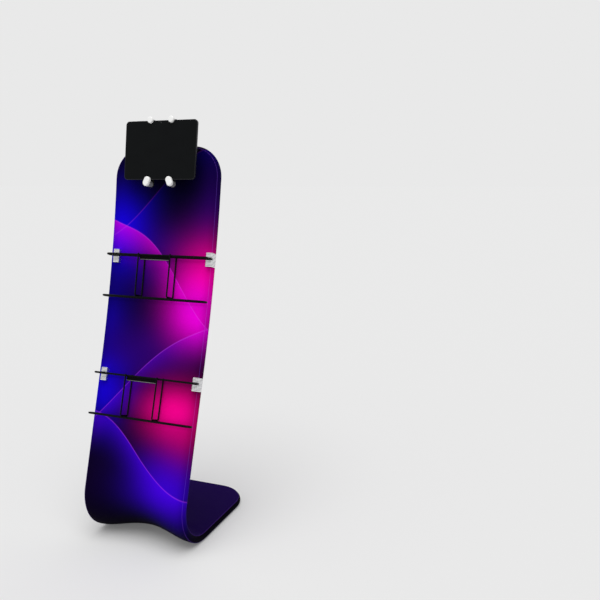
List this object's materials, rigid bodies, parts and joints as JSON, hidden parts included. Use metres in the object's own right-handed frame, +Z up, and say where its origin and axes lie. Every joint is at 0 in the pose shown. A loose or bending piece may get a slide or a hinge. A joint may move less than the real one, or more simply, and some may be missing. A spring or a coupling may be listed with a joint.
{
  "type": "fabric display stand",
  "caption": "Leaning display panel with a stretched cloth cover over a bent tube frame, with a tablet holder at the top and wire literature racks on the front",
  "frame": {"origin": "On the floor, in the middle of the width and of the straight run of the base tubes", "axes": "+Z up, +X to the right as seen from the front, -Y out of the front of the panel"},
  "size_m": [0.3786, 0.4699, 1.3093],
  "materials": {
    "printed_cloth": "printed stretch polyester, soft sheen",
    "zip": "closed black coil zip",
    "frame_tube": "grey powder coat",
    "bright_steel": "zinc plated steel",
    "rack_wire": "black powder coat, satin",
    "clip_metal": "bright satin metal",
    "tablet_shell": "dark anodised",
    "tablet_glass": "dark glass front, off",
    "holder_black": "black powder coat",
    "pad_rubber": "soft black rubber",
    "knob_white": "white satin plastic"
  },
  "bodies": {
    "root": {"fabric_cover": "printed_cloth", "base_zip": "zip", "top_hoop_tube": "frame_tube", "base_hoop_tube": "frame_tube", "left_upper_upright": "frame_tube", "right_upper_upright": "frame_tube", "left_lower_bend_tube": "frame_tube", "right_lower_bend_tube": "frame_tube", "holder_cross_bar": "frame_tube", "lower_rack_cross_bar": "frame_tube", "upper_rack_cross_bar": "frame_tube", "base_cross_bar": "frame_tube", "left_upper_spigot": "bright_steel", "left_lower_spigot": "bright_steel", "left_base_spigot": "bright_steel", "right_upper_spigot": "bright_steel", "right_lower_spigot": "bright_steel", "right_base_spigot": "bright_steel", "joint_screws": "bright_steel", "bar_screws": "bright_steel", "clip_screws": "bright_steel", "holder_screws": "bright_steel", "lower_rack_top_ring": "rack_wire", "lower_rack_bottom_ring": "rack_wire", "lower_rack_label_strip": "rack_wire", "lower_rack_left_hoop": "rack_wire", "lower_rack_right_hoop": "rack_wire", "lower_rack_left_clip": "clip_metal", "lower_rack_right_clip": "clip_metal", "upper_rack_top_ring": "rack_wire", "upper_rack_bottom_ring": "rack_wire", "upper_rack_label_strip": "rack_wire", "upper_rack_left_hoop": "rack_wire", "upper_rack_right_hoop": "rack_wire", "upper_rack_left_clip": "clip_metal", "upper_rack_right_clip": "clip_metal", "tablet_case": "tablet_shell", "tablet_glass": "tablet_glass", "left_holder_pad": "pad_rubber", "right_holder_pad": "pad_rubber", "holder_plate": "holder_black", "holder_bracket": "holder_black", "left_holder_post": "holder_black", "right_holder_post": "holder_black", "lower_left_stem": "bright_steel", "lower_left_cap": "knob_white", "lower_right_stem": "bright_steel", "lower_right_cap": "knob_white", "upper_left_stem": "bright_steel", "upper_left_cap": "knob_white", "upper_right_stem": "bright_steel", "upper_right_cap": "knob_white"}
  },
  "joints": []
}
